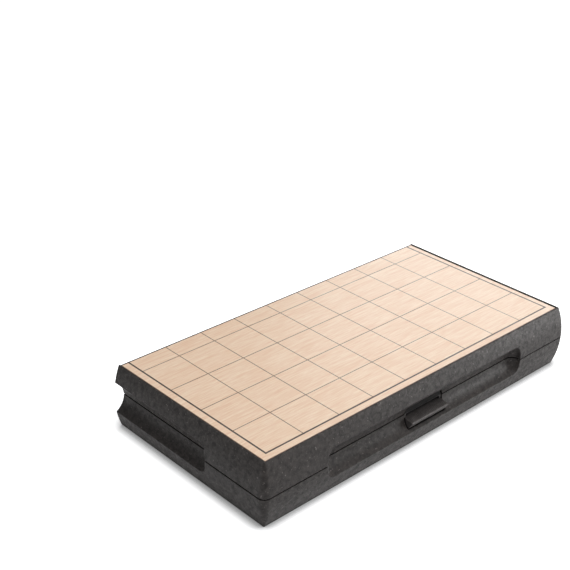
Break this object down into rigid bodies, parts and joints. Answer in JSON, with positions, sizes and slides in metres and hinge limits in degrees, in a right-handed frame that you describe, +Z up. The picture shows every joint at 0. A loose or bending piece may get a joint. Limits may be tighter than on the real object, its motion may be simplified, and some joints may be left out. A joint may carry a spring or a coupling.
{
  "type": "folding magnetic shogi board",
  "caption": "Folding magnetic shogi board, shut as a case: two hinged black trays with wood-grain half boards outside, a front click latch and the playing men stored inside.",
  "frame": {"origin": "middle of the underside of the folded board's whole box", "axes": "+X along the long side, +Y from the latch at the front to the hinge at the back, +Z up"},
  "size_m": [0.258, 0.131, 0.0402],
  "materials": {
    "tray_plastic": "moulded, fine matte grain, charcoal black",
    "latch_plastic": "moulded, fine matte grain, ribbed lip",
    "printed_sheet": "satin printed sheet, pale wood grain with a dark ruled grid",
    "sheet_steel": "cold-rolled",
    "pin_steel": "drawn wire, bright",
    "men_plastic": "moulded, ivory yellow, bare faces",
    "magnet": "sintered, dark grey"
  },
  "bodies": {
    "lower": {"lower_tray": "tray_plastic", "lower_playing_sheet": "printed_sheet", "lower_steel_sheet": "sheet_steel", "left_hinge_pin": "pin_steel", "right_hinge_pin": "pin_steel", "pawns": "men_plastic", "kings": "men_plastic", "golds": "men_plastic", "silvers": "men_plastic", "rooks": "men_plastic", "knights": "men_plastic", "lances": "men_plastic", "bishops": "men_plastic", "piece_magnets": "magnet"},
    "upper": {"upper_tray": "tray_plastic", "upper_playing_sheet": "printed_sheet", "upper_steel_sheet": "sheet_steel", "latch_pin": "pin_steel"},
    "latch": {"latch": "latch_plastic"}
  },
  "joints": [
    {"name": "board_fold", "type": "hinge", "parent": "lower", "child": "upper", "pos_m": [0, 0.06252, 0.0201], "axis": [-1, 0, 0], "range_deg": [0, 180]},
    {"name": "latch_swing", "type": "hinge", "parent": "upper", "child": "latch", "pos_m": [0, -0.05713, 0.0223], "axis": [-1, 0, 0], "range_deg": [0, 25]}
  ]
}
